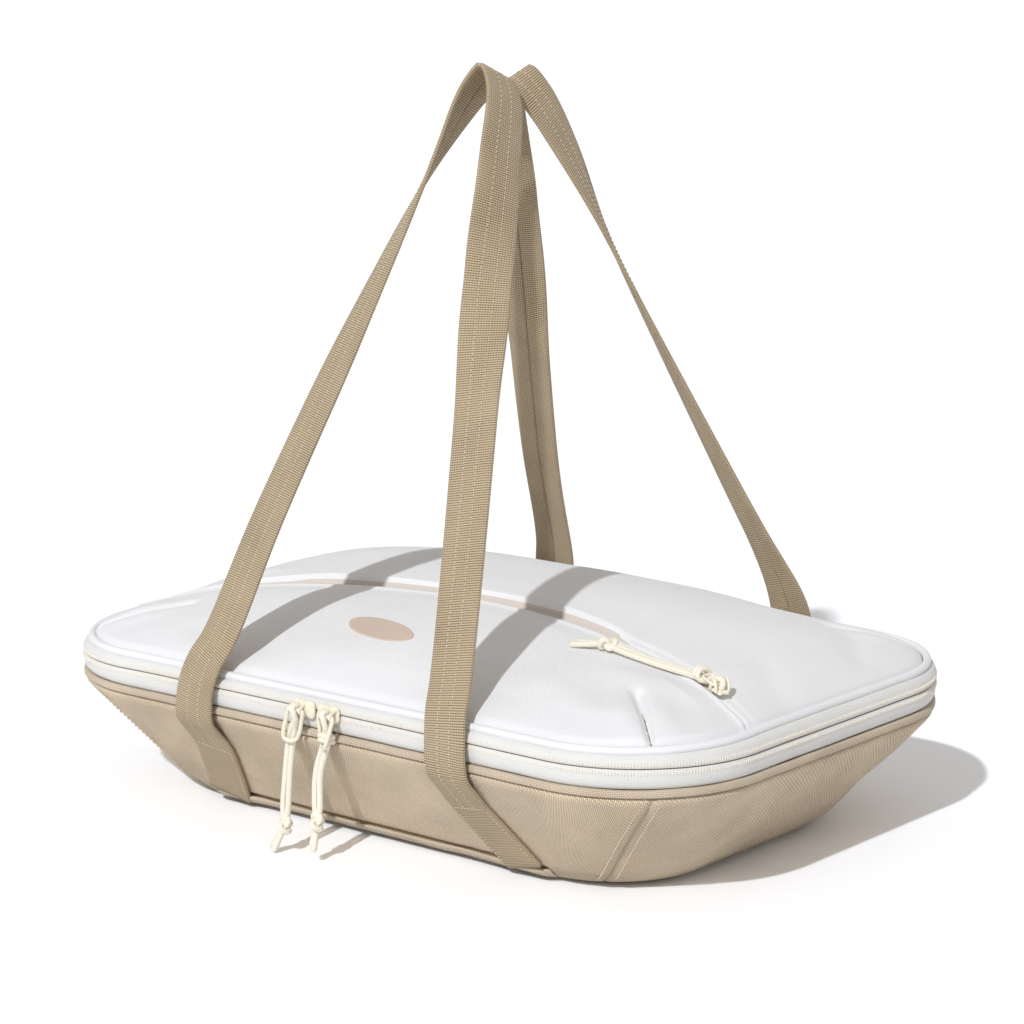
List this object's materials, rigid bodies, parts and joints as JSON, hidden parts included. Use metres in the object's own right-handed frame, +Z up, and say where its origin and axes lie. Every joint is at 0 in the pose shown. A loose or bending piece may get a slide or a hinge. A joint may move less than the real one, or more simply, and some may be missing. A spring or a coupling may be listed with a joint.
{
  "type": "casserole carrier",
  "caption": "Insulated casserole carrier: flared canvas tub, zipped domed lid with a zip pocket, cord pulls and tall webbing handles",
  "frame": {"origin": "middle of the flat bottom, where the carrier stands", "axes": "X along the long side, -Y the front with the zip pulls, +Z up"},
  "size_m": [0.4622, 0.3226, 0.4238],
  "materials": {
    "tan_canvas": "matte woven canvas",
    "tan_binding": "folded canvas strip with a stitched edge",
    "webbing": "ribbed flat webbing with stitch rows",
    "white_canvas": "matte woven canvas",
    "zip_tape": "fine woven tape",
    "piping": "fabric covered cord",
    "zip_coil": "moulded coil",
    "foam": "closed cell foam sheet",
    "lining": "coated lining",
    "board": "thin stiff sheet",
    "label": "plain sewn patch",
    "cream_metal": "smooth cream enamel",
    "cord": "round braided cord"
  },
  "bodies": {
    "base": {"base_bottom_panel": "tan_canvas", "base_board": "board", "base_foam": "foam", "base_lining": "lining", "base_front_panel": "tan_canvas", "base_rear_panel": "tan_canvas", "base_left_end_panel": "tan_canvas", "base_right_end_panel": "tan_canvas", "base_rim_binding": "tan_binding", "lower_zip_tape": "zip_tape", "lower_zip_coil": "zip_coil", "rear_hinge_lower_strip": "zip_tape", "left_zip_end_stop": "zip_coil", "right_zip_end_stop": "zip_coil", "front_base_welt": "tan_binding", "rear_base_welt": "tan_binding", "front_left_strap_anchor": "webbing", "front_right_strap_anchor": "webbing", "rear_left_strap_anchor": "webbing", "rear_right_strap_anchor": "webbing"},
    "lid": {"lid_pocket_panel": "white_canvas", "lid_rear_panel": "white_canvas", "pocket_back_panel": "lining", "lid_foam": "foam", "lid_lining": "lining", "lid_piping": "piping", "upper_zip_tape": "zip_tape", "upper_zip_coil": "zip_coil", "rear_hinge_upper_strip": "zip_tape", "pocket_front_zip_tape": "zip_tape", "pocket_rear_zip_tape": "zip_tape", "label_patch": "label"},
    "front_handle": {"front_handle_webbing": "webbing"},
    "rear_handle": {"rear_handle_webbing": "webbing"},
    "left_slider": {"left_slider": "cream_metal"},
    "left_pull": {"left_pull_bail": "cream_metal", "left_pull_cord": "cord"},
    "right_slider": {"right_slider": "cream_metal"},
    "right_pull": {"right_pull_bail": "cream_metal", "right_pull_cord": "cord"},
    "pocket_slider": {"pocket_slider": "cream_metal"},
    "pocket_pull": {"pocket_pull_bail": "cream_metal", "pocket_pull_cord": "cord"}
  },
  "joints": [
    {"name": "lid_hinge", "type": "hinge", "parent": "base", "child": "lid", "pos_m": [0, 0.1538, 0.0833], "axis": [-1, 0, 0], "range_deg": [0, 83]},
    {"name": "front_handle_swing", "type": "hinge", "parent": "base", "child": "front_handle", "pos_m": [0, -0.1406, 0.046], "axis": [1, 0, 0], "range_deg": [0, 108]},
    {"name": "rear_handle_swing", "type": "hinge", "parent": "base", "child": "rear_handle", "pos_m": [0, 0.1406, 0.046], "axis": [-1, 0, 0], "range_deg": [0, 108]},
    {"name": "left_slider_slide", "type": "slide", "parent": "base", "child": "left_slider", "axis": [-1, 0, 0], "range_m": [0, 0.045]},
    {"name": "left_pull_swing", "type": "hinge", "parent": "left_slider", "child": "left_pull", "pos_m": [-0.0109, -0.16015, 0.0833], "axis": [-1, 0, 0], "range_deg": [0, 95]},
    {"name": "right_slider_slide", "type": "slide", "parent": "base", "child": "right_slider", "axis": [1, 0, 0], "range_m": [0, 0.045]},
    {"name": "right_pull_swing", "type": "hinge", "parent": "right_slider", "child": "right_pull", "pos_m": [0.0109, -0.16015, 0.0833], "axis": [-1, 0, 0], "range_deg": [0, 95]},
    {"name": "pocket_slider_travel", "type": "hinge", "parent": "lid", "child": "pocket_slider", "pos_m": [0, -0.46322, -0.05032], "axis": [0, -0.3596, 0.9331], "range_deg": [0, 37]},
    {"name": "pocket_pull_lift", "type": "hinge", "parent": "pocket_slider", "child": "pocket_pull", "pos_m": [0.19637, -0.05957, 0.11144], "axis": [0.3868, 0.9221, -0.0111], "range_deg": [0, 95]}
  ],
  "couplings": [
    {"joint": "front_handle_swing", "follows": "lid_hinge", "ratio": 1.3},
    {"joint": "rear_handle_swing", "follows": "lid_hinge", "ratio": 1.3}
  ]
}
